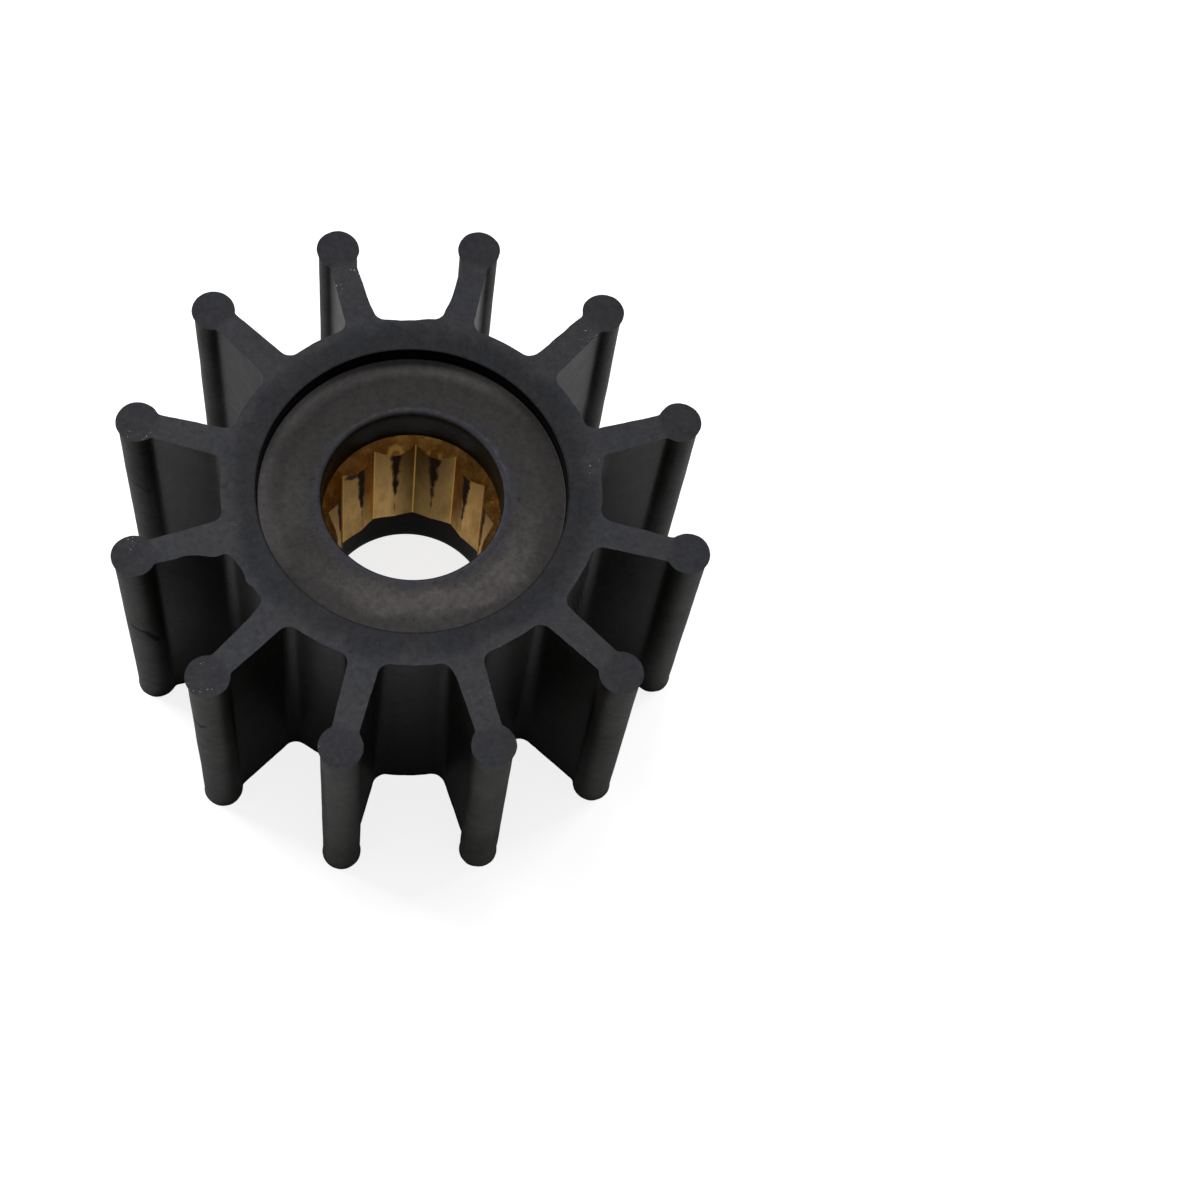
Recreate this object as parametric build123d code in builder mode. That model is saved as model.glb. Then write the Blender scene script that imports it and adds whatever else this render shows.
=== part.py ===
from build123d import *
import math
import os

# Flexible-blade rubber pump impeller with a splined brass drive bush.
#
# A rubber body (hub, blades with round tip beads, recessed end faces) is moulded and
# bonded round a brass bush.  The bush has a twelve-point bore that slides on the pump
# shaft.  The origin is the centre of the lower end face, on the shaft axis, and +Z runs
# along that axis towards the other end face.  All sizes are in millimetres.

# ---- rubber body: whole moulding ----
IMPELLER_DIA = 57.15  # over the tip beads, 2 1/4 in
IMPELLER_WIDTH = 31.75  # end face to end face, 1 1/4 in
HUB_DIA = 35.5  # floor of the valleys between the blades

# ---- rubber body: blades ----
BLADE_COUNT = 12
FIRST_BLADE_ANGLE = 15.0  # degrees from +X, so a valley faces each row axis
BEAD_DIA = 3.75  # round bead along each blade tip
BLADE_NECK_THICKNESS = 2.0  # web where it meets the bead
BLADE_ROOT_THICKNESS = 2.5  # web where it meets the hub
ROOT_FILLET = 1.4
NECK_FILLET = 0.7

# ---- rubber body: recess and plain bore at each end ----
RECESS_DIA = 29.5
RECESS_DEPTH = 1.75
END_BORE_DIA = 17.2
END_BORE_ROUND = 0.4  # rounded rim where the bore meets the recess floor

# ---- brass bush: outside ----
BUSH_DIA = 22.2
BUSH_LENGTH = 17.4
BUSH_COVER = 4.4  # rubber from the upper recess floor down to the bush
BUSH_EDGE_CHAMFER = 0.5
BOND_GROOVE_WIDTH = 4.0  # ring round the bush's middle that locks it into the rubber
BOND_GROOVE_DEPTH = 0.6

# ---- brass bush: twelve-point bore, two hexagons a twelfth of a turn apart ----
HEXAGON_SIDES = 6
POINT_DIA = 16.0  # across the bottoms of opposite grooves
POINT_ROUND = 0.15
POINT_ANGLE = 85.7  # degrees from +X to one groove
PILOT_UPPER_DIA = 14.66  # tapered pilot hole that blunts the tooth crests
PILOT_LOWER_DIA = 14.24
LEAD_IN_ANGLE = 52.0  # cone at each mouth, measured from the end face

# ---- places that follow from the sizes above ----
hub_r = HUB_DIA / 2
bead_r = BEAD_DIA / 2
bead_ring_r = IMPELLER_DIA / 2 - bead_r
web_middle_r = (hub_r + bead_ring_r) / 2
upper_floor = IMPELLER_WIDTH - RECESS_DEPTH
bush_top = upper_floor - BUSH_COVER
bush_bottom = bush_top - BUSH_LENGTH
bush_middle = (bush_top + bush_bottom) / 2
mouth_r = END_BORE_DIA / 2
hexagon_step = 360 / (2 * HEXAGON_SIDES)

# A blade's sides are straight and spread towards the hub; this is half its
# thickness if they ran on to the axis.
side_spread = (BLADE_ROOT_THICKNESS - BLADE_NECK_THICKNESS) / 2 / (bead_ring_r - hub_r)
half_at_axis = BLADE_ROOT_THICKNESS / 2 + side_spread * hub_r


# ---- outline of the moulding, seen along the shaft ----
with BuildSketch() as one_blade:
    Circle(hub_r)
    Polygon(
        (0, -half_at_axis),
        (bead_ring_r, -BLADE_NECK_THICKNESS / 2),
        (bead_ring_r, BLADE_NECK_THICKNESS / 2),
        (0, half_at_axis),
        align=None,
    )
    with Locations((bead_ring_r, 0)):
        Circle(bead_r)
    roots = one_blade.vertices().filter_by(lambda v: 0 < v.X < web_middle_r)
    fillet(roots, radius=ROOT_FILLET)
    necks = one_blade.vertices().filter_by(lambda v: web_middle_r < v.X < bead_ring_r)
    fillet(necks, radius=NECK_FILLET)

with BuildSketch() as moulded_outline:
    with PolarLocations(0, BLADE_COUNT, start_angle=FIRST_BLADE_ANGLE):
        add(one_blade.sketch)


# ---- brass bush before its bore is cut; the same form is the pocket in the rubber ----
with BuildPart() as bush_blank:
    with Locations((0, 0, bush_middle)):
        Cylinder(BUSH_DIA / 2, BUSH_LENGTH)
    chamfer(bush_blank.edges().filter_by(GeomType.CIRCLE), length=BUSH_EDGE_CHAMFER)
    with BuildSketch(Plane.XY.offset(bush_middle - BOND_GROOVE_WIDTH / 2)):
        Circle(BUSH_DIA / 2)
        Circle(BUSH_DIA / 2 - BOND_GROOVE_DEPTH, mode=Mode.SUBTRACT)
    extrude(amount=BOND_GROOVE_WIDTH, mode=Mode.SUBTRACT)


# ---- rubber body ----
with BuildPart() as rubber_body:
    with BuildSketch():
        add(moulded_outline.sketch)
    extrude(amount=IMPELLER_WIDTH)
    for floor_z, depth in ((RECESS_DEPTH, -RECESS_DEPTH), (upper_floor, RECESS_DEPTH)):
        with BuildSketch(Plane.XY.offset(floor_z)):
            Circle(RECESS_DIA / 2)
        extrude(amount=depth, mode=Mode.SUBTRACT)
    with BuildSketch():
        Circle(mouth_r)
    extrude(amount=IMPELLER_WIDTH, mode=Mode.SUBTRACT)
    rims = rubber_body.edges().filter_by(GeomType.CIRCLE)
    rims = rims.filter_by(lambda e: math.isclose(e.radius, mouth_r, abs_tol=0.001))
    fillet(rims, radius=END_BORE_ROUND)
    add(bush_blank.part, mode=Mode.SUBTRACT)


# ---- brass bush with its bore ----
pilot_lower_r = PILOT_LOWER_DIA / 2
pilot_upper_r = PILOT_UPPER_DIA / 2
lead_in_depth = (mouth_r - pilot_lower_r) * math.tan(math.radians(LEAD_IN_ANGLE))

with BuildPart() as splined_bush:
    add(bush_blank.part)
    with BuildSketch(Plane.XY.offset(bush_bottom)) as twelve_points:
        for turn in (0, hexagon_step):
            RegularPolygon(POINT_DIA / 2, HEXAGON_SIDES, rotation=POINT_ANGLE + turn)
        corners = twelve_points.vertices().group_by(SortBy.DISTANCE)[-1]
        fillet(corners, radius=POINT_ROUND)
    extrude(amount=BUSH_LENGTH, mode=Mode.SUBTRACT)
    with Locations((0, 0, bush_middle)):
        Cone(pilot_lower_r, pilot_upper_r, BUSH_LENGTH, mode=Mode.SUBTRACT)
    with Locations((0, 0, bush_top - lead_in_depth / 2)):
        Cone(pilot_lower_r, mouth_r, lead_in_depth, mode=Mode.SUBTRACT)
    with Locations((0, 0, bush_bottom + lead_in_depth / 2)):
        Cone(mouth_r, pilot_lower_r, lead_in_depth, mode=Mode.SUBTRACT)


# ---- write one file for each piece ----
os.makedirs("parts", exist_ok=True)
rubber_body.part.label = "rubber_body"
export_step(rubber_body.part, "parts/rubber_body.step")
splined_bush.part.label = "splined_bush"
export_step(splined_bush.part, "parts/splined_bush.step")
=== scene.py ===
# %% [markdown]
# A rubber pump impeller, dressed in Blender around its CAD frame.
# The real thing is one rubber moulding, bonded round a brass bush.  The CAD part gives
# the true sizes and the bush; here the rubber is made again as a finer mesh, with the
# thin lips, waves and flash that moulding and grinding leave, and both get a finish.

# %% Load the fixed frame
import math
import bpy
from mathutils import Matrix, Vector


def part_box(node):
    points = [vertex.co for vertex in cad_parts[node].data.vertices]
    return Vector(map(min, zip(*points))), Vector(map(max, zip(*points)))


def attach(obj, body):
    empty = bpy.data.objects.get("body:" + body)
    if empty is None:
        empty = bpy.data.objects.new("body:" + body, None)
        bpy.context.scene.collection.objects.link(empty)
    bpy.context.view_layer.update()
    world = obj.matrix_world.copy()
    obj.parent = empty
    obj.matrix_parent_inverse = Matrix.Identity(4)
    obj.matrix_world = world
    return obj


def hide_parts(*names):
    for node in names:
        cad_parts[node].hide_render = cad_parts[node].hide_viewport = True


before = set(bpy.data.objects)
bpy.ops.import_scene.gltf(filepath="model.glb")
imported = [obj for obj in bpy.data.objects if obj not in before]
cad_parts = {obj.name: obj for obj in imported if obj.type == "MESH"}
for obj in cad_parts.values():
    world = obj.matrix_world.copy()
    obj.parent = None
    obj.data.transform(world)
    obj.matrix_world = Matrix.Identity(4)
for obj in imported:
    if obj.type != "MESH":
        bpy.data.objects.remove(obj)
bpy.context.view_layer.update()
MM = 0.001
rubber_low, rubber_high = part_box("rubber_body")
bush_low, bush_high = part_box("splined_bush")
WIDTH = (rubber_high.z - rubber_low.z) / MM
print("nodes:", sorted(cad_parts), "width", round(WIDTH, 2), "mm")

# %% [markdown]
# The camera looks down on the upper end face, from in front and a little to the left.
# It is given by the point where it stands, the point that it looks at and a roll,
# because a tilt written like that can be read and changed one value at a time.

# %% Camera
CAMERA_PLACE = Vector((-6.5, -100.5, 244.0)) * MM
CAMERA_AIM = Vector((17.2, -11.6, 31.75)) * MM
CAMERA_ROLL = 13.4
CAMERA_LENS = 74.5
NEAREST_SEEN = 0.01

camera = bpy.data.objects.new("camera", bpy.data.cameras.new("camera"))
bpy.context.scene.collection.objects.link(camera)
camera.data.lens = CAMERA_LENS
camera.data.clip_start = NEAREST_SEEN
look = (CAMERA_AIM - CAMERA_PLACE).to_track_quat("-Z", "Y").to_matrix().to_4x4()
roll = Matrix.Rotation(math.radians(CAMERA_ROLL), 4, "Z")
camera.matrix_world = Matrix.Translation(CAMERA_PLACE) @ look @ roll
bpy.context.scene.camera = camera
bpy.context.scene.view_settings.view_transform = "Standard"
print("camera stands", round((CAMERA_PLACE - CAMERA_AIM).length / MM), "mm from its aim")

# %% [markdown]
# Materials and shapes are node trees.  Small helpers keep them short: the first add a
# node and feed its inputs, the next do sums, and the last mix, draw noise, fade and open
# a material.  An input is either a plain value or the output of another node.

# %% Helpers for node trees
def feed(tree, socket, value):
    """Link a socket to another node's output, or set it to a plain value."""
    if isinstance(value, bpy.types.NodeSocket):
        tree.links.new(value, socket)
    else:
        socket.default_value = value


def put(tree, kind, settings=None, **inputs):
    """Add a node. Inputs are named, or numbered as in_0, in_1 where names repeat."""
    made = tree.nodes.new(kind)
    for name, value in (settings or {}).items():
        setattr(made, name, value)
    for name, value in inputs.items():
        key = int(name[3:]) if name.startswith("in_") else name.replace("_", " ")
        feed(tree, made.inputs[key], value)
    return made


def calc(tree, operation, first, second=0.0, third=0.0, clamp=False):
    """One Math node, as its output socket."""
    settings = {"operation": operation, "use_clamp": clamp}
    made = put(tree, "ShaderNodeMath", settings, in_0=first, in_1=second, in_2=third)
    return made.outputs[0]


def times(tree, first, *others):
    """The product of two or more values."""
    for other in others:
        first = calc(tree, "MULTIPLY", first, other)
    return first


def scaled(tree, value, factor, base, clamp=False):
    """A value times a factor, plus a base."""
    return calc(tree, "MULTIPLY_ADD", value, factor, base, clamp)


def inverse(tree, value):
    """1 minus a value, which turns a mask inside out."""
    return calc(tree, "SUBTRACT", 1.0, value)


def centred(tree, value):
    """Noise that lies evenly above and below 0."""
    return calc(tree, "SUBTRACT", value, 0.5)


def diagonal(tree, first, second):
    """The long side of a right-angled triangle, from its two short sides."""
    squares = (calc(tree, "POWER", side, 2.0) for side in (first, second))
    return calc(tree, "SQRT", calc(tree, "ADD", *squares))


def vmath(tree, operation, first, second=None):
    """One Vector Math node, as its output socket."""
    made = put(tree, "ShaderNodeVectorMath", {"operation": operation}, in_0=first)
    if second is not None:
        feed(tree, made.inputs["Scale" if operation == "SCALE" else 1], second)
    gives_number = operation in ("LENGTH", "DISTANCE", "DOT_PRODUCT")
    return made.outputs["Value" if gives_number else "Vector"]


def mix_colour(tree, factor, first, second):
    mixed = put(tree, "ShaderNodeMix", {"data_type": "RGBA"}, in_0=factor, in_6=first, in_7=second)
    return mixed.outputs[2]


def mix_value(tree, factor, first, second):
    mixed = put(tree, "ShaderNodeMix", {"data_type": "FLOAT"}, in_0=factor, in_2=first, in_3=second)
    return mixed.outputs[0]


def noise(tree, vector, size, detail=3.0, rough=0.5, seed=0.0):
    """Noise whose bumps are about size millimetres across."""
    settings = {"noise_dimensions": "4D"}
    return put(tree, "ShaderNodeTexNoise", settings, Vector=vector, W=seed,
               Scale=0.5 / (size * MM), Detail=detail, Roughness=rough).outputs["Fac"]


def span(tree, value, low, high):
    """0 below low, 1 above high, smooth between them."""
    return put(tree, "ShaderNodeMapRange", {"interpolation_type": "SMOOTHSTEP"}, Value=value,
               From_Min=low, From_Max=high).outputs["Result"]


def new_material(name, roughness, metallic=0.0, specular=0.5):
    material = bpy.data.materials.new(name)
    material.use_nodes = True
    tree = material.node_tree
    shader = tree.nodes["Principled BSDF"]
    shader.inputs["Roughness"].default_value = roughness
    shader.inputs["Metallic"].default_value = metallic
    shader.inputs["Specular IOR Level"].default_value = specular
    return material, tree, shader


print("helpers ready")

# %% [markdown]
# Floor and light.  The light comes mostly from behind and from the left, so the floor
# behind the part is bright and the pockets between the front blades are dark, as smooth
# black rubber mirrors whatever lies beyond it.  The floor is a grey card that looks
# white because it glows for the camera alone; inside the bore it also glows a little in
# reflections, which is what lights the brass from below.

# %% Floor, surroundings and lamps
WHITE = (1.0, 1.0, 1.0, 1.0)
FLOOR_SIZE = 6.0
FLOOR_ALBEDO = 0.5
FLOOR_GLOW = 0.82
BORE_R = 8.6
BORE_GLOW = 0.34
ROOM_LIGHT = 0.27
LAMP_SIZE = 0.3
LAMPS = [  # name, place in metres, watts
    ("light_behind", (0.0, 0.40, 0.69), 1.9),
    ("light_left", (-0.5, 0.35, 0.50), 3.4),
    ("light_right", (0.5, 0.35, 0.50), 1.3),
]

bpy.ops.mesh.primitive_plane_add(size=FLOOR_SIZE)
floor = bpy.context.object
floor.name = "floor"
card, tree, shader = new_material("white_card", roughness=0.9, specular=0.0)
shader.inputs["Base Color"].default_value = (FLOOR_ALBEDO, FLOOR_ALBEDO, FLOOR_ALBEDO, 1)
shader.inputs["Emission Color"].default_value = WHITE
rays = put(tree, "ShaderNodeLightPath").outputs
from_shaft = vmath(tree, "LENGTH", put(tree, "ShaderNodeTexCoord").outputs["Object"])
under_bore = calc(tree, "LESS_THAN", from_shaft, BORE_R * MM)
mirrored_glow = times(tree, rays["Is Glossy Ray"], under_bore, BORE_GLOW)
glow = calc(tree, "MAXIMUM", times(tree, rays["Is Camera Ray"], FLOOR_GLOW), mirrored_glow)
feed(tree, shader.inputs["Emission Strength"], glow)
floor.data.materials.append(card)

world = bpy.data.worlds.new("white_room")
bpy.context.scene.world = world
world.use_nodes = True
tree = world.node_tree
seen = put(tree, "ShaderNodeLightPath").outputs["Is Camera Ray"]
background = tree.nodes["Background"]
feed(tree, background.inputs["Strength"], calc(tree, "MAXIMUM", seen, ROOM_LIGHT))
background.inputs["Color"].default_value = WHITE


def soft_box(name, place, aim, watts):
    """A square lamp that stands at a place and faces a point."""
    lamp = bpy.data.lights.new(name, "AREA")
    lamp.shape = "SQUARE"
    lamp.size = LAMP_SIZE
    lamp.energy = watts
    holder = bpy.data.objects.new(name, lamp)
    bpy.context.scene.collection.objects.link(holder)
    place = Vector(place)
    turn = (Vector(aim) - place).to_track_quat("-Z", "Y").to_matrix().to_4x4()
    holder.matrix_world = Matrix.Translation(place) @ turn


for name, place, watts in LAMPS:
    soft_box(name, place, (0, 0, WIDTH * MM / 2), watts)
print("floor and", len(bpy.data.lights), "lights ready")

# %% [markdown]
# The outline of the rubber, seen along the shaft.  One blade is a straight web that
# thickens towards the hub, with a round bead at its tip and a small hollow fillet at
# each join.  Every arc is worked out from the sizes, so the joins are smooth.  Only one
# side is worked out; the other is its mirror image.

# %% Outline of one blade
BLADES = 12
FIRST_BLADE = 15.0
HUB_R = 17.75
BEAD_R = 1.875
BEAD_RING_R = 26.7
NECK_HALF = 1.0
ROOT_HALF = 1.25
ROOT_FILLET = 1.4
NECK_FILLET = 0.7
BEAD_STEP = math.radians(6)
FILLET_STEP = math.radians(12)
HUB_STEP = math.radians(1.5)
SIDE_STEP = 0.5


def arc(centre, radius, start, end, step):
    """Points along an arc, first point left out."""
    count = max(1, round(abs(end - start) / step))
    angles = [start + (end - start) * i / count for i in range(1, count + 1)]
    return [centre + Vector((math.cos(a), math.sin(a))) * radius for a in angles]


def touching_circle(radius, other_centre_x, other_radius, side, sign):
    """Centre of a fillet that touches the blade's side and a round thing on its axis."""
    slope, height = side
    rise = height + radius * math.hypot(1, slope)
    reach = other_radius + radius
    a = 1 + slope * slope
    b = -2 * (slope * rise + other_centre_x)
    c = other_centre_x ** 2 + rise ** 2 - reach ** 2
    x = (-b + sign * math.sqrt(b * b - 4 * a * c)) / (2 * a)
    return Vector((x, rise - slope * x))


def half_blade():
    """One side of a blade, from the tip of its bead to the middle of the next valley."""
    slope = (ROOT_HALF - NECK_HALF) / (BEAD_RING_R - HUB_R)
    side = (slope, ROOT_HALF + slope * HUB_R)
    out = Vector((slope, 1)).normalized()
    bead = Vector((BEAD_RING_R, 0))
    neck = touching_circle(NECK_FILLET, BEAD_RING_R, BEAD_R, side, -1)
    root = touching_circle(ROOT_FILLET, 0.0, HUB_R, side, 1)
    to_neck = math.atan2(neck.y, neck.x - BEAD_RING_R)
    down = math.atan2(-out.y, -out.x)
    to_hub = math.atan2(-root.y, -root.x)
    start, end = neck - out * NECK_FILLET, root - out * ROOT_FILLET
    steps = round((start - end).length / SIDE_STEP)
    points = [bead + Vector((BEAD_R, 0))]
    points += arc(bead, BEAD_R, 0.0, to_neck, BEAD_STEP)
    points += arc(neck, NECK_FILLET, to_neck - math.pi, down, FILLET_STEP)
    points += [start.lerp(end, i / steps) for i in range(1, steps + 1)]
    points += arc(root, ROOT_FILLET, down, to_hub, FILLET_STEP)
    points += arc(Vector((0, 0)), HUB_R, to_hub + math.pi, math.pi / BLADES, HUB_STEP)
    return points


half = half_blade()
whole_blade = [Vector((point.x, -point.y)) for point in reversed(half)] + half[1:]
print("outline of one blade:", len(whole_blade), "points")

# %% [markdown]
# The holes through the middle are turned shapes, so one profile of radius and height
# describes them: the shallow recess, its floor, the rounded rim of the bore, the bore
# itself and the pocket that the brass bush is bonded into.  The lower end is the same
# as the upper one, so the profile is written once and mirrored.

# %% Profile of the turned holes
RECESS_R = 14.75
RECESS_DEPTH = 1.75
EDGE_BREAK = 0.08  # how far the sharp edge of the recess is broken, inwards and down
EDGE_BREAK_START = 0.05
WALL_STEP = 0.3
CORNER_ROUND = 0.2
RIM_ROUND = 0.38
RIM_RAISE = 0.035
RIM_SWELL_R = 9.7
POCKET_GAP = 0.02
ROUND_STEPS = 6
FLOOR_STEPS = 12
SWELL_STEPS = 4
BORE_STEPS = 6
BUSH_R = bush_high.x / MM
BUSH_TOP = bush_high.z / MM
BUSH_BOTTOM = bush_low.z / MM
MIDDLE = WIDTH / 2


def end_holes(bush_depth):
    """One end, from its face to the middle of the pocket, as (radius, depth) points."""
    quarter = [math.pi / 2 * i / ROUND_STEPS for i in range(ROUND_STEPS + 1)]
    corner = RECESS_R - EDGE_BREAK - CORNER_ROUND
    points = [(RECESS_R, 0.0), (RECESS_R - EDGE_BREAK_START, EDGE_BREAK)]
    points += [(RECESS_R - EDGE_BREAK, WALL_STEP * i) for i in range(1, 5)]
    for a in quarter:
        depth = RECESS_DEPTH - CORNER_ROUND * (1 - math.sin(a))
        points.append((corner + CORNER_ROUND * math.cos(a), depth))
    for i in range(1, FLOOR_STEPS + 1):
        points.append((corner + (RIM_SWELL_R - corner) * i / FLOOR_STEPS, RECESS_DEPTH))
    top = RECESS_DEPTH - RIM_RAISE
    start = BORE_R + RIM_ROUND
    for i in range(1, SWELL_STEPS + 1):
        swell = math.sin(math.pi / 2 * i / SWELL_STEPS) ** 2
        r = RIM_SWELL_R + (start - RIM_SWELL_R) * i / SWELL_STEPS
        points.append((r, RECESS_DEPTH - RIM_RAISE * swell))
    for a in quarter[1:]:
        points.append((start - RIM_ROUND * math.sin(a), top + RIM_ROUND * (1 - math.cos(a))))
    for i in range(1, BORE_STEPS + 1):
        drop = (bush_depth - top - RIM_ROUND) * i / BORE_STEPS
        points.append((BORE_R, top + RIM_ROUND + drop))
    return points + [(BUSH_R + POCKET_GAP, bush_depth)]


upper = [(r, WIDTH - depth) for r, depth in end_holes(WIDTH - BUSH_TOP - POCKET_GAP)]
lower = end_holes(BUSH_BOTTOM - POCKET_GAP)
profile = upper + lower[::-1]
print("profile of the holes:", len(profile), "points")

# %% [markdown]
# The moulding could be modelled by hand, but twelve equal blades are quicker and truer
# as a recipe, so it is built by Geometry Nodes.  These helpers put a list of points into
# the scene as a line, open a tree with named inputs and run it with its values.

# %% Helpers for geometry trees
def outline_object(name, points):
    """A bare line of points in millimetres, to feed a geometry tree."""
    mesh = bpy.data.meshes.new(name)
    places = [(x * MM, y * MM, 0.0) for x, y in points]
    mesh.from_pydata(places, [(i, i + 1) for i in range(len(places) - 1)], [])
    made = bpy.data.objects.new(name, mesh)
    bpy.context.scene.collection.objects.link(made)
    return made


def new_tree(name, inputs):
    """A geometry tree with named inputs, given as (name, kind of socket)."""
    tree = bpy.data.node_groups.new(name, "GeometryNodeTree")
    tree.interface.new_socket("Geometry", in_out="INPUT", socket_type="NodeSocketGeometry")
    tree.interface.new_socket("Geometry", in_out="OUTPUT", socket_type="NodeSocketGeometry")
    for title, kind in inputs:
        tree.interface.new_socket(title, in_out="INPUT", socket_type="NodeSocket" + kind)
    return tree, tree.nodes.new("NodeGroupInput").outputs


def run_tree(holder, tree, values):
    """Set the tree's inputs by their identifiers and give back the finished plain mesh."""
    modifier = holder.modifiers.new(tree.name, "NODES")
    modifier.node_group = tree
    for item in tree.interface.items_tree:
        if item.in_out == "INPUT" and item.name in values:
            modifier[item.identifier] = values[item.name]
    graph = bpy.context.evaluated_depsgraph_get()
    mesh = bpy.data.meshes.new_from_object(holder.evaluated_get(graph))
    return bpy.data.objects.new(tree.name, mesh)


print("geometry helpers ready")

# %% [markdown]
# The outside of the real part is one wall that runs up the hub, the webs and the beads.
# One blade's outline is set round the shaft twelve times and welded to a closed curve.
# A straight wall is swept round it, with its rows close set near both ends, where it
# flares out to the thin lip that grinding the end faces turns up.

# %% The walls of the hub, webs and beads
ROWS = 49
ROW_BUNCHING = 0.9  # 0 spaces the rows evenly, 1 packs them at both ends
OUTLINE_WELD = 0.01
LIP = 0.2
LIP_DEPTH = 0.45
LIP_CURVE = 1.6  # how suddenly the lip flares
LOWER_LIP = 0.35  # share of the lip that the lower end has
tree, given = new_tree("rubber_body", [
    ("Holes", "Object"), ("Blades", "Int"), ("First blade", "Float"), ("Width", "Float"),
    ("Lip", "Float"), ("Lip depth", "Float"), ("Waves", "Float"), ("Ragged", "Float"),
    ("Seed", "Float"), ("Rubber", "Material"),
])
points = put(tree, "GeometryNodePoints", Count=given["Blades"])
turn = calc(tree, "DIVIDE", math.tau, given["Blades"])
turn = scaled(tree, turn, put(tree, "GeometryNodeInputIndex").outputs[0], given["First blade"])
spin = put(tree, "ShaderNodeCombineXYZ", Z=turn)
spread = put(tree, "GeometryNodeInstanceOnPoints", Points=points.outputs[0],
             Instance=given["Geometry"], Rotation=spin.outputs[0])
loose = put(tree, "GeometryNodeRealizeInstances", Geometry=spread.outputs[0])
welded = put(tree, "GeometryNodeMergeByDistance", Geometry=loose.outputs[0],
             Distance=OUTLINE_WELD * MM)
outline = put(tree, "GeometryNodeMeshToCurve", Mesh=welded.outputs[0])
upright = put(tree, "GeometryNodeSetCurveNormal", {"mode": "Z_UP"}, Curve=outline.outputs[0])

line = put(tree, "GeometryNodeCurvePrimitiveLine", Start=(0, 0, 0), End=(0, 1, 0))
rows = put(tree, "GeometryNodeResampleCurve", Curve=line.outputs[0], Count=ROWS)
share = calc(tree, "DIVIDE", put(tree, "GeometryNodeInputIndex").outputs[0], ROWS - 1.0)
bunch = calc(tree, "SINE", times(tree, share, math.tau))
bunch = times(tree, bunch, ROW_BUNCHING / math.tau)
height = times(tree, calc(tree, "SUBTRACT", share, bunch), given["Width"])
below_top = calc(tree, "SUBTRACT", height, given["Width"])
from_end = calc(tree, "MINIMUM", height, calc(tree, "SUBTRACT", given["Width"], height))
flare = calc(tree, "DIVIDE", from_end, given["Lip depth"])
flare = calc(tree, "SUBTRACT", 1.0, flare, clamp=True)
flare = calc(tree, "POWER", flare, LIP_CURVE)
lower_end = calc(tree, "GREATER_THAN", height, times(tree, given["Width"], 0.5))
flare = times(tree, flare, scaled(tree, lower_end, LOWER_LIP - 1.0, 1.0))
lean = put(tree, "ShaderNodeCombineXYZ", X=times(tree, flare, given["Lip"]), Y=below_top)
shaped = put(tree, "GeometryNodeSetPosition", Geometry=rows.outputs[0], Position=lean.outputs[0])
wall = put(tree, "GeometryNodeCurveToMesh", Curve=upright.outputs[0],
           Profile_Curve=shaped.outputs[0])
print("walls:", ROWS, "rows, lip", LIP, "mm")

# %% [markdown]
# A rubber moulding is a little wavy after it has been stripped from its mould, and the
# grinder leaves a ragged edge and bits of flash.  The waves and the ragged edge are noise
# along the wall's own normal.  The larger bits of flash, the nicks and the corners that
# are fuller than the rest are placed one by one, each as a point with a reach and a depth.

# %% Waves, ragged edges and flash
WAVES = 0.16
WAVE_SIZE = 4.0
RAGGED = 0.22
RAGGED_SIZE = 0.8
LIP_FADE = (0.1, 1.0)  # where the lip's effects end, as a share of its depth
FLASH = [
    # x, y, reach and depth in mm of what the upper edge has more (or less) than it should
    (-18.1, -7.0, 2.6, 0.80), (-15.4, -9.6, 0.9, 0.25), (-14.6, -12.2, 1.4, 0.15),
    (-21.1, -6.9, 0.6, -0.16), (-24.9, -6.2, 0.8, -0.10), (3.2, -18.4, 1.2, 0.15),
]
CORNERS = [
    # x, y, reach and depth in mm of corners that are filled from top to bottom
    (2.5, 18.5, 2.4, 0.42), (-2.6, 18.5, 2.0, 0.28), (12.9, 13.3, 1.6, 0.12),
]
place = put(tree, "GeometryNodeInputPosition").outputs[0]
normal = put(tree, "GeometryNodeInputNormal").outputs[0]
sideways = vmath(tree, "NORMALIZE", vmath(tree, "MULTIPLY", normal, (1, 1, 0)))
flat = vmath(tree, "MULTIPLY", place, (1, 1, 0))
z = put(tree, "ShaderNodeSeparateXYZ", Vector=place).outputs["Z"]
from_top = calc(tree, "SUBTRACT", given["Width"], z)
from_end = calc(tree, "MINIMUM", z, from_top)
at_lip = inverse(tree, span(tree, calc(tree, "DIVIDE", from_end, given["Lip depth"]), *LIP_FADE))
at_top = times(tree, at_lip, calc(tree, "LESS_THAN", from_top, given["Lip depth"]))
swell = centred(tree, noise(tree, place, WAVE_SIZE, detail=2.0, seed=given["Seed"]))
rough = noise(tree, place, RAGGED_SIZE, detail=4.0, rough=0.6, seed=given["Seed"])
rough = times(tree, centred(tree, rough), given["Ragged"], at_lip)
push = calc(tree, "ADD", times(tree, swell, given["Waves"]), rough)
for spots, mask in ((FLASH, at_top), (CORNERS, 1.0)):
    for x, y, reach, depth in spots:
        apart = vmath(tree, "DISTANCE", flat, (x * MM, y * MM, 0.0))
        near = inverse(tree, span(tree, apart, 0.0, reach * MM))
        push = scaled(tree, times(tree, near, depth * MM), mask, push)
worn = put(tree, "GeometryNodeSetPosition", Geometry=wall.outputs[0],
           Offset=vmath(tree, "SCALE", sideways, push))
print("waves", WAVES, "mm, ragged", RAGGED, "mm,", len(FLASH), "bits of flash,",
      len(CORNERS), "full corners")

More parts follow.
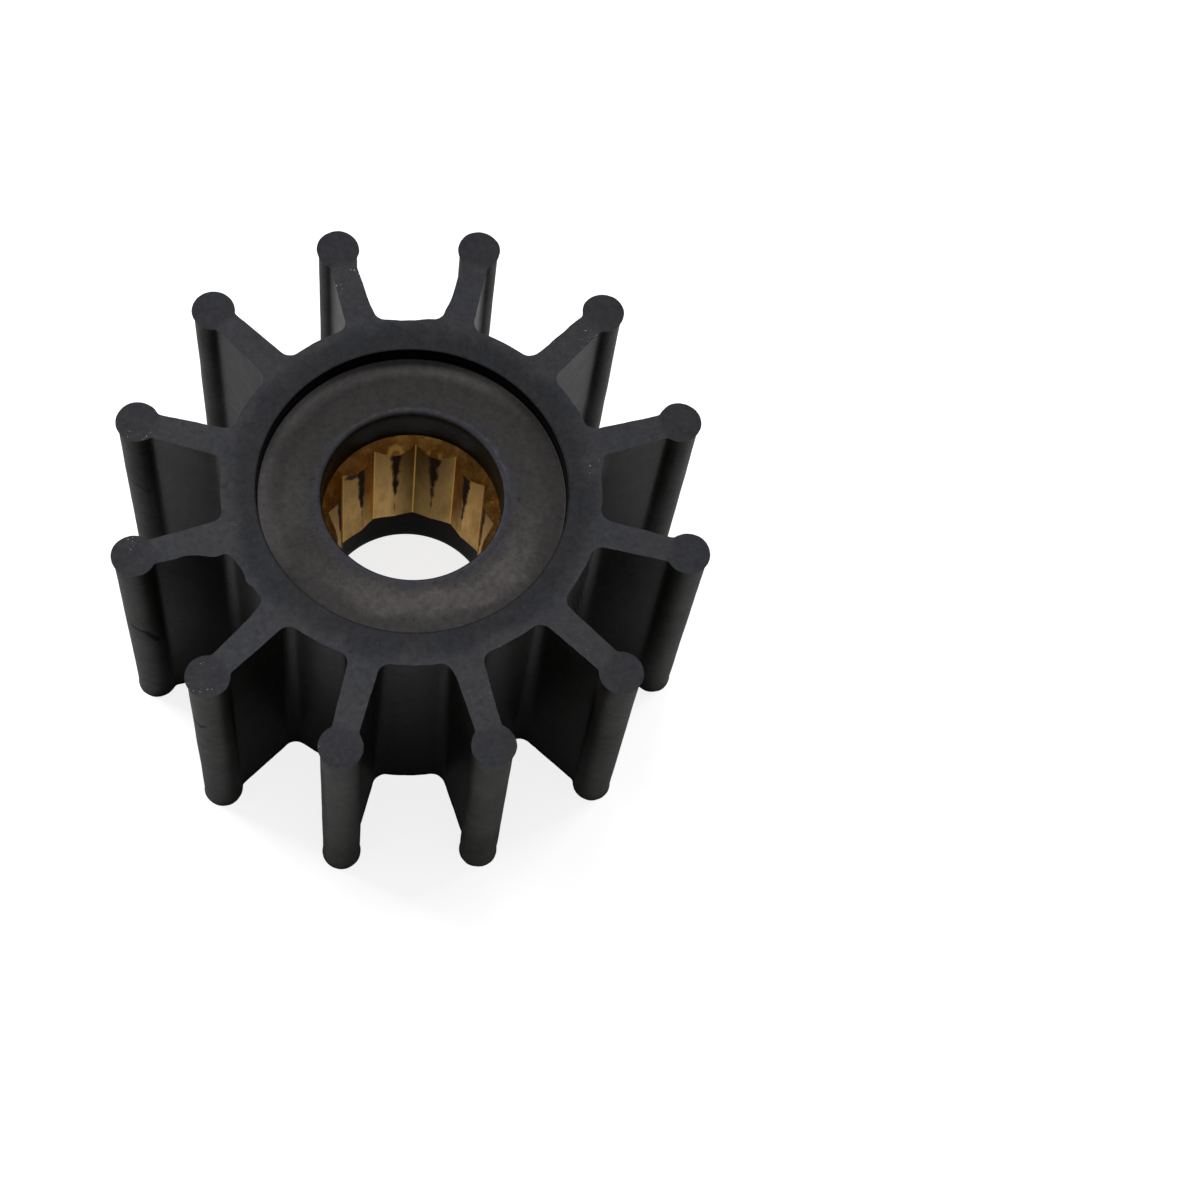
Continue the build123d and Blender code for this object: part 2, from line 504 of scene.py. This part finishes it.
# %% [markdown]
# The recesses, the bores and the pocket are turned, so their profile is swept round a
# circle.  Both end faces are ground flat, so a flat fill between the open rims of the
# wall and of the holes closes each end.  The rims are then welded, which leaves one
# closed skin.

# %% The holes and the ground ends
TURNS = 240
RIM_WELD = 0.003
rail = put(tree, "GeometryNodeCurvePrimitiveCircle", {"mode": "RADIUS"}, Resolution=TURNS,
           Radius=BORE_R * MM)
rail = put(tree, "GeometryNodeSetCurveNormal", {"mode": "Z_UP"}, Curve=rail.outputs[0])
section = put(tree, "GeometryNodeObjectInfo", Object=given["Holes"])
section = put(tree, "GeometryNodeMeshToCurve", Mesh=section.outputs["Geometry"])
holes = put(tree, "GeometryNodeCurveToMesh", Curve=rail.outputs[0],
            Profile_Curve=section.outputs[0])
tube = put(tree, "GeometryNodeJoinGeometry")
for part in (holes, worn):
    tree.links.new(part.outputs[0], tube.inputs[0])

whole = put(tree, "GeometryNodeJoinGeometry")
neighbours = put(tree, "GeometryNodeInputMeshEdgeNeighbors").outputs[0]
open_edge = calc(tree, "COMPARE", neighbours, 1.0)
half_way = times(tree, given["Width"], 0.5)
for upper_end in (True, False):
    this_end = calc(tree, "GREATER_THAN" if upper_end else "LESS_THAN", z, half_way)
    rims = put(tree, "GeometryNodeMeshToCurve", Mesh=tube.outputs[0],
               Selection=times(tree, open_edge, this_end))
    lid = put(tree, "GeometryNodeFillCurve", {"mode": "TRIANGLES"}, Curve=rims.outputs[0])
    if upper_end:
        raised = put(tree, "ShaderNodeCombineXYZ", Z=given["Width"])
        lid = put(tree, "GeometryNodeTransform", Geometry=lid.outputs[0],
                  Translation=raised.outputs[0])
    else:
        lid = put(tree, "GeometryNodeFlipFaces", Mesh=lid.outputs[0])
    tree.links.new(lid.outputs[0], whole.inputs[0])
tree.links.new(tube.outputs[0], whole.inputs[0])
closed = put(tree, "GeometryNodeMergeByDistance", Geometry=whole.outputs[0],
             Distance=RIM_WELD * MM)
smooth = put(tree, "GeometryNodeSetShadeSmooth", Geometry=closed.outputs[0])
real = put(tree, "GeometryNodeRealizeInstances", Geometry=smooth.outputs[0])
painted = put(tree, "GeometryNodeSetMaterial", Geometry=real.outputs[0],
              Material=given["Rubber"])
put(tree, "NodeGroupOutput", Geometry=painted.outputs[0])
moulding_tree = tree
print("holes swept in", TURNS, "steps")

# %% [markdown]
# The rubber is one black compound, but it shows three finishes.  The sides keep the
# smooth skin of the mould and are fairly glossy, a little browner and duller on the
# beads that get handled, and lighter there as painted light.  The two end faces are
# ground, so they are a dull bluish grey with a fine grain and white dust caught in it.
# The recess floor is moulded, warmer, and has a cloudy bloom with small pits.  One
# material picks between them by place.

# %% Rubber: where each finish lies
GROUND_SKIN = 0.004  # these are allowances in mm, so that each zone ends cleanly
GROUND_INSET = 0.04
RECESS_INSET = 0.15
RECESS_WALL_INSET = 0.02
FLOOR_ALLOWANCE = 0.06
WALL_FOOT = 0.05
BORE_ALLOWANCE = 0.02
BEAD_ZONE = (BEAD_RING_R - 2.2, BEAD_RING_R - 1.2)


def locate(tree):
    """The place in object coordinates, then x, y, z and the radius in mm."""
    place = put(tree, "ShaderNodeTexCoord").outputs["Object"]
    xyz = put(tree, "ShaderNodeSeparateXYZ", Vector=place).outputs
    x_mm, y_mm, z_mm = (calc(tree, "DIVIDE", xyz[axis], MM) for axis in "XYZ")
    return place, x_mm, y_mm, z_mm, diagonal(tree, x_mm, y_mm)


def facing(degrees):
    """Cosine of the angle, seen from above, between this place and a direction."""
    turn = math.radians(degrees)
    along_x = times(nodes, x_mm, math.cos(turn))
    return calc(nodes, "DIVIDE", scaled(nodes, y_mm, math.sin(turn), along_x), radius)


rubber, nodes, shader = new_material("black_rubber", roughness=0.36, specular=0.45)
place, x_mm, y_mm, z_mm, radius = locate(nodes)
off_middle = calc(nodes, "ABSOLUTE", calc(nodes, "SUBTRACT", z_mm, MIDDLE))
outside = calc(nodes, "GREATER_THAN", radius, RECESS_R - GROUND_INSET)
ground = calc(nodes, "GREATER_THAN", off_middle, MIDDLE - GROUND_SKIN)
ground = times(nodes, ground, outside)
above_floor = calc(nodes, "GREATER_THAN", off_middle, MIDDLE - RECESS_DEPTH - FLOOR_ALLOWANCE)
in_recess = calc(nodes, "LESS_THAN", radius, RECESS_R - RECESS_INSET)
in_recess = times(nodes, in_recess, above_floor)
recessed = calc(nodes, "LESS_THAN", radius, RECESS_R - RECESS_WALL_INSET)
recessed = times(nodes, recessed, above_floor)
wall = calc(nodes, "GREATER_THAN", off_middle, MIDDLE - RECESS_DEPTH + WALL_FOOT)
on_bead = span(nodes, radius, *BEAD_ZONE)
in_bore = calc(nodes, "LESS_THAN", radius, BORE_R + BORE_ALLOWANCE)
normal = put(nodes, "ShaderNodeNewGeometry").outputs["Normal"]
normal = put(nodes, "ShaderNodeSeparateXYZ", Vector=normal).outputs
outward = calc(nodes, "ADD", times(nodes, normal["X"], x_mm), times(nodes, normal["Y"], y_mm))
outward = calc(nodes, "DIVIDE", outward, radius)
print("rubber zones ready")

# %% [markdown]
# Ground rubber shows a fine grain with light specks of dust in it.  In the recess a
# cloudy bloom, the wax that works its way out of old rubber, lies as a band round the
# bore, mostly at the front.  Small pits are what the mould left there.  Each of them is
# noise of its own size, kept to its zone and shifted by the angle round the shaft.

# %% Rubber: grain, dust, bloom and pits
DUSTY_SIDE = 215  # directions are in degrees from +X
FRONT = 285
LEFT = 182
PITTED_SIDE = 190
BLOOM_INNER = (9.3, 11.0)  # mm from the shaft, where the bloom fades in and out
BLOOM_OUTER = (12.2, 13.4)
PITTED_RIM = (9.6, 11.4)
DRIFT = 5.0  # mm by which the bands wander in and out

cloud = noise(nodes, place, size=2.6, detail=5.0, rough=0.6, seed=1.0)
grain = noise(nodes, place, size=0.30, detail=4.0, rough=0.75, seed=2.0)
mottle = noise(nodes, place, size=0.75, detail=4.0, rough=0.65, seed=3.0)
fine = noise(nodes, place, size=0.10, detail=2.0, rough=0.6, seed=4.0)
dents = noise(nodes, place, size=0.26, detail=3.0, rough=0.6, seed=8.0)
clusters = scaled(nodes, times(nodes, on_bead, facing(DUSTY_SIDE)), 0.09, cloud)
clusters = span(nodes, clusters, 0.54, 0.68)
speck = span(nodes, scaled(nodes, clusters, 0.105, fine), 0.735, 0.795)
speck = times(nodes, speck, ground, 0.7)

drift = times(nodes, centred(nodes, cloud), DRIFT)
across = calc(nodes, "ADD", radius, drift)
band = inverse(nodes, span(nodes, across, *BLOOM_OUTER))
band = times(nodes, span(nodes, across, *BLOOM_INNER), band)
front = span(nodes, scaled(nodes, mottle, 0.4, facing(FRONT)), 0.4, 1.2)
left = times(nodes, span(nodes, facing(LEFT), 0.93, 1.0), 0.35)
bloom = times(nodes, band, calc(nodes, "MAXIMUM", front, left))
bloom = calc(nodes, "MULTIPLY", bloom, scaled(nodes, grain, 1.4, 0.3), clamp=True)
pitting = times(nodes, inverse(nodes, span(nodes, across, *PITTED_RIM)), 0.07)
pitting = scaled(nodes, span(nodes, facing(PITTED_SIDE), 0.4, 0.95), 0.03, pitting)
pits = calc(nodes, "ADD", scaled(nodes, mottle, 0.3, dents), pitting)
pits = times(nodes, span(nodes, pits, 0.84, 0.92), in_recess)
print("grain, dust, bloom and pits ready")

# %% [markdown]
# Grain and mottle make the black uneven from place to place, and most of the rest of the
# brightness here is painted light and shade.  Rather than to paint each spot, one number
# for the brightness is worked out from the angle, the radius and the height: the sides
# and the ground faces are lighter towards one side as painted light, the bead sides that
# face the pockets are darker as painted shade, the foot of the pockets is darker as
# painted shade, and the floor of the recess is lighter near its wall as painted light.
# The recess wall and a band of floor at its foot are painted black as shade, a thin
# painted highlight runs round the rim of the bore, and a thin painted shade line follows
# the inner edge of the ground ring.

# %% Rubber: how bright each place is
BACK = 105
RIM_HIGHLIGHT_SIDE = 70
LIGHT_GROUND_SIDE = 250
LIGHT_SIDE = 325
DARK_POCKETS = 272
NEAR_WALL = (12.4, 14.4)  # mm from the shaft
RIM_HIGHLIGHT_R = 9.25
RIM_HIGHLIGHT = (0.03, 0.26)  # mm from the middle of the line, where it fades
GROUND_HUB = (15.8, 18.2)
EDGE_SHADE_BAND = (RECESS_R + 0.05, RECESS_R + 0.2)
RECESS_SHADE_BAND = (RECESS_R - 0.26, RECESS_R - 0.12)
POCKET_HEIGHT = (-6.0, 27.0)  # mm above the lower end, where the painted shade thins out

back = times(nodes, span(nodes, facing(LEFT), 0.8, 1.0), 0.8)
back = calc(nodes, "MAXIMUM", span(nodes, facing(BACK), 0.3, 0.9), back)
recess_level = scaled(nodes, facing(FRONT), 0.13, 0.86)
# Painted light: at the back and left the recess floor is made lighter towards its wall.
near_wall = times(nodes, span(nodes, radius, *NEAR_WALL), back)
recess_level = scaled(nodes, near_wall, 1.6, recess_level)
# Painted highlight: a thin light line round the rim of the bore, on the far side only.
off_rim = calc(nodes, "SUBTRACT", scaled(nodes, drift, 0.12, radius), RIM_HIGHLIGHT_R)
rim_highlight = inverse(nodes, span(nodes, calc(nodes, "ABSOLUTE", off_rim), *RIM_HIGHLIGHT))
rim_highlight = times(nodes, rim_highlight, span(nodes, facing(RIM_HIGHLIGHT_SIDE), 0.1, 0.8),
                 span(nodes, mottle, 0.36, 0.58))
recess_level = scaled(nodes, rim_highlight, 0.4, recess_level)

ground_level = scaled(nodes, span(nodes, across, *GROUND_HUB), 0.35, 0.64)
# Painted light: the ground faces are lighter towards one side of the shaft.
ground_level = times(nodes, ground_level, scaled(nodes, facing(LIGHT_GROUND_SIDE), 0.13, 1.05))
# Painted shade: a thin dark line along the inner edge of the ground ring.
edge_shade = inverse(nodes, span(nodes, radius, *EDGE_SHADE_BAND))
ground_level = times(nodes, ground_level, scaled(nodes, edge_shade, -0.35, 1.0))

# Painted light: the moulded sides are lighter towards one side of the shaft.
level = scaled(nodes, facing(LIGHT_SIDE), 0.24, 0.84)
# Painted shade: low down in the pockets at the front, the sides of the webs and hub are darker,
# fading upwards.
low = inverse(nodes, span(nodes, z_mm, *POCKET_HEIGHT))
low = times(nodes, low, span(nodes, facing(DARK_POCKETS), 0.1, 0.8), inverse(nodes, on_bead))
level = times(nodes, level, scaled(nodes, low, -0.68, 1.0))
# Painted shade: the halves of the beads' sides that turn towards the pockets are darker, by their
# normal; the cloud adds uneven tone.
painted_bead_shade = scaled(nodes, span(nodes, outward, -0.1, 0.6), 0.45, 0.60)
painted_bead_shade = times(nodes, painted_bead_shade, scaled(nodes, centred(nodes, cloud), 1.6, 1.0))
level = times(nodes, level, mix_value(nodes, on_bead, 1.0, painted_bead_shade))
level = mix_value(nodes, in_recess, level, recess_level)
level = mix_value(nodes, ground, level, ground_level)
strength = scaled(nodes, centred(nodes, grain), 1.1, 1.0)
strength = scaled(nodes, centred(nodes, mottle), 0.9, strength)
strength = times(nodes, strength, level)
# Painted shade: the recess wall all round, and a band of floor at its foot at the back and left,
# turn black and lose most of their gloss.
painted_recess_shade = times(nodes, span(nodes, radius, *RECESS_SHADE_BAND), back)
painted_recess_shade = times(nodes, calc(nodes, "MAXIMUM", wall, painted_recess_shade), recessed)
print("brightness ready")

# %% [markdown]
# A few blades are creased or nicked.  Such a mark is a short dark line with ragged
# borders, so each is written as a straight piece with a width and a darkness, and the
# material darkens what lies close to it.  A bent crease is two pieces end to end.

# %% Rubber: creases and nicks
MARKS = [  # start and end in mm, half width in mm, darkness
    ((-26.9, -8.5, 18.6), (-25.6, -8.78, 17.6), 0.22, 1.0),
    ((-25.6, -8.78, 17.6), (-24.7, -8.4, 14.9), 0.24, 1.0),
    ((-20.4, -19.9, 23.3), (-19.9, -20.4, 22.8), 0.26, 1.0),
    ((-19.9, -20.4, 22.8), (-19.5, -20.6, 23.4), 0.22, 0.9),
    ((-8.6, -26.6, 27.0), (-8.45, -26.9, 11.0), 0.30, 0.45),
    ((-20.3, -20.1, 17.5), (-20.0, -20.4, 16.6), 0.22, 0.5),
    ((-26.8, -8.5, 4.2), (-25.3, -8.72, 3.3), 0.35, 0.4),
    ((-26.6, 5.2, 21.6), (-25.5, 5.0, 20.5), 0.35, 0.4),
]
MARK_RAGGED = 0.3
MARK_FADE = (0.6, 1.6)  # where a mark's border starts and ends, in half widths


def off_segment(tree, vector, start, end):
    """Distance in mm from the straight line between two points."""
    start, end = (Vector(point) * MM for point in (start, end))
    away = vmath(tree, "SUBTRACT", vector, start)
    share = calc(tree, "DIVIDE", vmath(tree, "DOT_PRODUCT", away, end - start),
                 (end - start).length_squared, clamp=True)
    apart = vmath(tree, "DISTANCE", away, vmath(tree, "SCALE", end - start, share))
    return calc(tree, "DIVIDE", apart, MM)


mark = 0.0
for start, end, half_width, darkness in MARKS:
    apart = off_segment(nodes, place, start, end)
    apart = scaled(nodes, centred(nodes, mottle), MARK_RAGGED, apart)
    share = inverse(nodes, span(nodes, apart, *(half_width * fade for fade in MARK_FADE)))
    mark = calc(nodes, "MAXIMUM", mark, times(nodes, share, darkness))
print("marks:", len(MARKS))

# %% [markdown]
# The zones and the patterns now meet in the shader.  Black rubber is seen mostly by what
# it mirrors, so the brightness scales its gloss as well as its colour.  The ground faces
# and the recess are rougher than the skin from the mould, and the grain and the pits
# also move the shading normal a little.

# %% Rubber: colour, gloss and relief
SIDE = (0.0075, 0.0066, 0.0060, 1.0)
# The beads' browner tint is their wear; that they are lighter than SIDE is painted light.
BEAD_SIDE = (0.020, 0.0178, 0.0152, 1.0)
GROUND = (0.0062, 0.0072, 0.0128, 1.0)
GROUND_WARM = (0.0088, 0.0072, 0.0104, 1.0)
RECESS = (0.0120, 0.0098, 0.0090, 1.0)
RIM_BLUE = (0.013, 0.012, 0.020, 1.0)
BLOOM = (0.045, 0.039, 0.037, 1.0)
BORE = (0.012, 0.0098, 0.0065, 1.0)
EDGE_HIGHLIGHT = (0.055, 0.048, 0.040, 1.0)
DUST = (0.34, 0.35, 0.38, 1.0)
BLACK = (0.0014, 0.0011, 0.0012, 1.0)
EDGE_ZONE = (MIDDLE - 0.5, MIDDLE - 0.1)  # mm from the middle of the width
RIM_ZONE = (9.2, 10.0)  # mm from the shaft
GLOSS = 0.45
ROUGHNESS = 0.34

# Painted highlight: ragged light lines along the lips near both ends of the moulded sides.
edge = times(nodes, span(nodes, off_middle, *EDGE_ZONE), span(nodes, mottle, 0.40, 0.60))
tint = mix_colour(nodes, span(nodes, cloud, 0.40, 0.60), GROUND, GROUND_WARM)
rim_zone = inverse(nodes, span(nodes, across, *RIM_ZONE))
floor_tint = mix_colour(nodes, bloom, mix_colour(nodes, rim_zone, RECESS, RIM_BLUE), BLOOM)
hollow = calc(nodes, "MAXIMUM", pits, mark)
colour = mix_colour(nodes, on_bead, SIDE, BEAD_SIDE)
colour = mix_colour(nodes, times(nodes, edge, 0.8), colour, EDGE_HIGHLIGHT)
colour = mix_colour(nodes, in_bore, colour, BORE)
colour = mix_colour(nodes, ground, colour, tint)
colour = mix_colour(nodes, in_recess, colour, floor_tint)
colour = vmath(nodes, "SCALE", colour, strength)
colour = mix_colour(nodes, painted_recess_shade, colour, BLACK)
colour = mix_colour(nodes, speck, colour, DUST)
colour = mix_colour(nodes, times(nodes, hollow, 0.8), colour, BLACK)
feed(nodes, shader.inputs["Base Color"], colour)

low_bore = times(nodes, in_bore, calc(nodes, "LESS_THAN", z_mm, MIDDLE))
gloss = scaled(nodes, in_bore, -0.7, 1.0)
gloss = scaled(nodes, low_bore, -0.26, gloss)
gloss = scaled(nodes, painted_recess_shade, -0.88, gloss, clamp=True)
gloss = scaled(nodes, mark, -0.8, gloss, clamp=True)
feed(nodes, shader.inputs["Specular IOR Level"], times(nodes, gloss, GLOSS, strength))

dull = calc(nodes, "MAXIMUM", ground, in_recess)
roughness = scaled(nodes, on_bead, 0.10, ROUGHNESS)
roughness = calc(nodes, "ADD", roughness, times(nodes, dull, 0.34))
roughness = scaled(nodes, centred(nodes, mottle), 0.25, roughness, clamp=True)
feed(nodes, shader.inputs["Roughness"], roughness)

relief = times(nodes, grain, scaled(nodes, dull, 0.9, 0.1))
relief = calc(nodes, "ADD", relief, times(nodes, hollow, -1.0))
bump = put(nodes, "ShaderNodeBump", Height=relief, Strength=0.5, Distance=0.04 * MM)
feed(nodes, shader.inputs["Normal"], bump.outputs[0])
print("rubber ready")

# %% [markdown]
# The bush is brass.  Its bore was broached with two hexagons, so the flanks are satin
# and finely scored along the shaft, and the cone at its mouth was turned first, which
# leaves it darker, rougher and with burrs at the ends of the teeth, on which a bright
# glint is painted.  Rubber that crept in while the body was moulded still clings to the
# tooth crests in ragged dark stripes that thin out further down.  All of this follows
# the angle, radius and depth.

# %% Brass
POINTS = 12
POINT_ANGLE = 85.7

brass, nodes, shader = new_material("bush_brass", roughness=0.34, metallic=1.0, specular=0.3)
place, x_mm, y_mm, z_mm, radius = locate(nodes)
depth = calc(nodes, "SUBTRACT", BUSH_TOP, z_mm)
step = math.tau / POINTS
turned = calc(nodes, "ARCTAN2", y_mm, x_mm)
turned = calc(nodes, "SUBTRACT", turned, math.radians(POINT_ANGLE))
from_root = calc(nodes, "PINGPONG", calc(nodes, "ADD", turned, math.tau), step / 2)
off_root = times(nodes, from_root, radius)
off_crest = times(nodes, calc(nodes, "SUBTRACT", step / 2, from_root), radius)
print("brass coordinates ready: a groove every", round(math.degrees(step)), "degrees")

# %% [markdown]
# The broach scored the flanks along the shaft, so their noise is stretched that way.
# The residue is a stripe round each crest that narrows with depth, and the cone is told
# from the teeth by its slope.  The burrs are arcs where a tooth ends in the cone, and on
# the back side they get a painted glint; the root of each groove gets a thin painted
# highlight.

# %% Brass: scoring, residue, cone and burrs
LEAD_IN_SLOPE = math.tan(math.radians(52.0))
CONE_BORDER = (0.03, 0.10)  # mm, as are the next six
CREST_ZONE_R = 7.6
CREST_END_DEPTH = 1.9
BURR_R = 0.72
BURR_WIDTH = (0.10, 0.34)
ROOT_GLINT = (0.04, 0.12)
BLOTCH_RAGGED = 1.6
BLOTCHES = [((-5.5, 4.9, 23.8), 0.9), ((2.6, 7.1, 24.0), 0.5)]  # centre, reach
GLINT_SIDE = 87


def along_shaft(tree, vector, share):
    """Coordinates that stretch a texture along the shaft."""
    return put(tree, "ShaderNodeMapping", Vector=vector, Scale=(1.0, 1.0, share)).outputs[0]


score = noise(nodes, along_shaft(nodes, place, 0.06), size=0.13, detail=3.0, rough=0.6, seed=5.0)
patch = noise(nodes, along_shaft(nodes, place, 0.3), size=0.9, detail=4.0, rough=0.6, seed=6.0)
ragged = noise(nodes, along_shaft(nodes, place, 0.5), size=0.45, detail=3.0, rough=0.6, seed=7.0)
ragged = centred(nodes, ragged)
cone_depth = times(nodes, calc(nodes, "SUBTRACT", BORE_R, radius), LEAD_IN_SLOPE)
below_cone = calc(nodes, "SUBTRACT", depth, cone_depth)
on_cone = inverse(nodes, span(nodes, below_cone, *CONE_BORDER))
off_cone = inverse(nodes, on_cone)

stripe = scaled(nodes, depth, -0.055, 0.70)
stripe = scaled(nodes, ragged, 0.9, stripe)
residue = span(nodes, calc(nodes, "SUBTRACT", stripe, off_crest), -0.10, 0.22)
residue = times(nodes, residue, calc(nodes, "LESS_THAN", radius, CREST_ZONE_R))
for spot, reach in BLOTCHES:
    apart = vmath(nodes, "DISTANCE", place, [c * MM for c in spot])
    apart = scaled(nodes, ragged, BLOTCH_RAGGED * MM, apart)
    blotch = inverse(nodes, span(nodes, apart, reach * 0.6 * MM, reach * MM))
    residue = calc(nodes, "MAXIMUM", residue, times(nodes, blotch, 0.8))
residue = times(nodes, residue, off_cone)

crest_end = calc(nodes, "DIVIDE", calc(nodes, "SUBTRACT", CREST_END_DEPTH, depth), LEAD_IN_SLOPE)
ring = scaled(nodes, ragged, 0.5, diagonal(nodes, off_crest, crest_end))
off_ring = calc(nodes, "ABSOLUTE", calc(nodes, "SUBTRACT", ring, BURR_R))
# Painted glint: bright arcs on the burrs, on the back side only, partly not metallic.
burr_glint = inverse(nodes, span(nodes, off_ring, *BURR_WIDTH))
burr_glint = times(nodes, burr_glint, on_cone, span(nodes, facing(GLINT_SIDE), 0.90, 0.96),
             span(nodes, patch, 0.36, 0.50))
# Painted highlight: a thin bright line along the root of each groove.
root_glint = times(nodes, inverse(nodes, span(nodes, off_root, *ROOT_GLINT)), off_cone)
print("scoring, residue, cone and burrs ready")

# %% [markdown]
# Fresh brass is bright yellow, but this bush has lost its shine.  The tint runs from the
# bright flanks to the deeper and the tarnished patches, the cone has a browner pair of its
# own, and the flanks at the back are painted darker and those to one side lighter, as
# painted shade and light.  The burrs and the groove roots get a painted glint, and on the
# burrs it is made partly not metallic so that its bright colour shows.  Rubber is no
# metal, so where the residue lies the shader stops being metallic.

# %% Brass: colour, gloss and relief
FLANK_COLOUR = (1.0, 0.66, 0.27, 1.0)
DEEP_COLOUR = (0.66, 0.42, 0.17, 1.0)
TARNISH = (0.42, 0.27, 0.12, 1.0)
CONE_COLOUR = (0.38, 0.19, 0.048, 1.0)
CONE_LIGHT = (0.68, 0.39, 0.11, 1.0)
GLINT_COLOUR = (1.0, 0.62, 0.16, 1.0)
RESIDUE_COLOUR = (0.044, 0.029, 0.019, 1.0)
SHADED_FLANK_SIDE = 78
LIT_FLANK_SIDE = 20
EDGE_TINT = 0.62  # how far a grazing reflection takes the brass's own colour

base = mix_colour(nodes, span(nodes, patch, 0.35, 0.65), DEEP_COLOUR, FLANK_COLOUR)
tarnish = span(nodes, scaled(nodes, depth, -0.02, patch), 0.34, 0.50)
base = mix_colour(nodes, times(nodes, tarnish, 0.5), base, TARNISH)
# Painted shade and light: the flanks at the back are darker and those towards one side lighter; the
# scoring adds its own variation.
flank_shade_and_scoring = scaled(nodes, span(nodes, facing(SHADED_FLANK_SIDE), 0.88, 0.99), -0.46, 0.80)
flank_shade_and_scoring = scaled(nodes, facing(LIT_FLANK_SIDE), 0.12, flank_shade_and_scoring)
flank_shade_and_scoring = times(nodes, flank_shade_and_scoring, scaled(nodes, score, 0.7, 0.65))
flank_shade_and_scoring = mix_value(nodes, on_cone, flank_shade_and_scoring, 1.0)
base = vmath(nodes, "SCALE", base, flank_shade_and_scoring)
cone = mix_colour(nodes, span(nodes, patch, 0.40, 0.62), CONE_COLOUR, CONE_LIGHT)
base = mix_colour(nodes, on_cone, base, cone)
base = mix_colour(nodes, burr_glint, base, GLINT_COLOUR)
base = mix_colour(nodes, times(nodes, root_glint, 0.6), base, GLINT_COLOUR)
base = mix_colour(nodes, residue, base, RESIDUE_COLOUR)
feed(nodes, shader.inputs["Base Color"], base)
feed(nodes, shader.inputs["Specular Tint"], mix_colour(nodes, EDGE_TINT, WHITE, base))

metal = calc(nodes, "SUBTRACT", scaled(nodes, burr_glint, -0.45, 1.0), residue, clamp=True)
feed(nodes, shader.inputs["Metallic"], metal)
roughness = scaled(nodes, residue, 0.4, scaled(nodes, score, 0.25, 0.22))
feed(nodes, shader.inputs["Roughness"], roughness)
wavy = times(nodes, calc(nodes, "ADD", patch, ragged), times(nodes, on_cone, 3.0))
relief = calc(nodes, "ADD", calc(nodes, "ADD", score, wavy), times(nodes, residue, 2.0))
bump = put(nodes, "ShaderNodeBump", Height=relief, Strength=0.4, Distance=0.05 * MM)
feed(nodes, shader.inputs["Normal"], bump.outputs[0])
print("brass ready")

# %% [markdown]
# The moulding takes the place of the CAD rubber, because it carries the lips and the
# flash that the plain solid lacks.  The bush keeps its exact CAD solid, which is already
# as fine as the real one, and only gets its brass.

# %% Put it together
SEED = 3.0
SHARP_ANGLE = math.radians(35)

blade_line = outline_object("one_blade", whole_blade)
hole_line = outline_object("holes", [(r - BORE_R, -z) for r, z in reversed(profile)])
body = run_tree(blade_line, moulding_tree, {
    "Holes": hole_line, "Blades": BLADES, "First blade": math.radians(FIRST_BLADE),
    "Width": WIDTH * MM, "Lip": LIP * MM, "Lip depth": LIP_DEPTH * MM, "Waves": WAVES * MM,
    "Ragged": RAGGED * MM, "Seed": SEED, "Rubber": rubber,
})
body.name = "rubber_moulding"
bpy.context.scene.collection.objects.link(body)
for helper in (blade_line, hole_line):
    bpy.data.objects.remove(helper)
body.data.set_sharp_from_angle(angle=SHARP_ANGLE)
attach(body, "root")
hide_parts("rubber_body")

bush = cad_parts["splined_bush"]
bush.data.materials.clear()
bush.data.materials.append(brass)
print("moulding:", len(body.data.vertices), "vertices,", len(body.data.polygons), "faces")
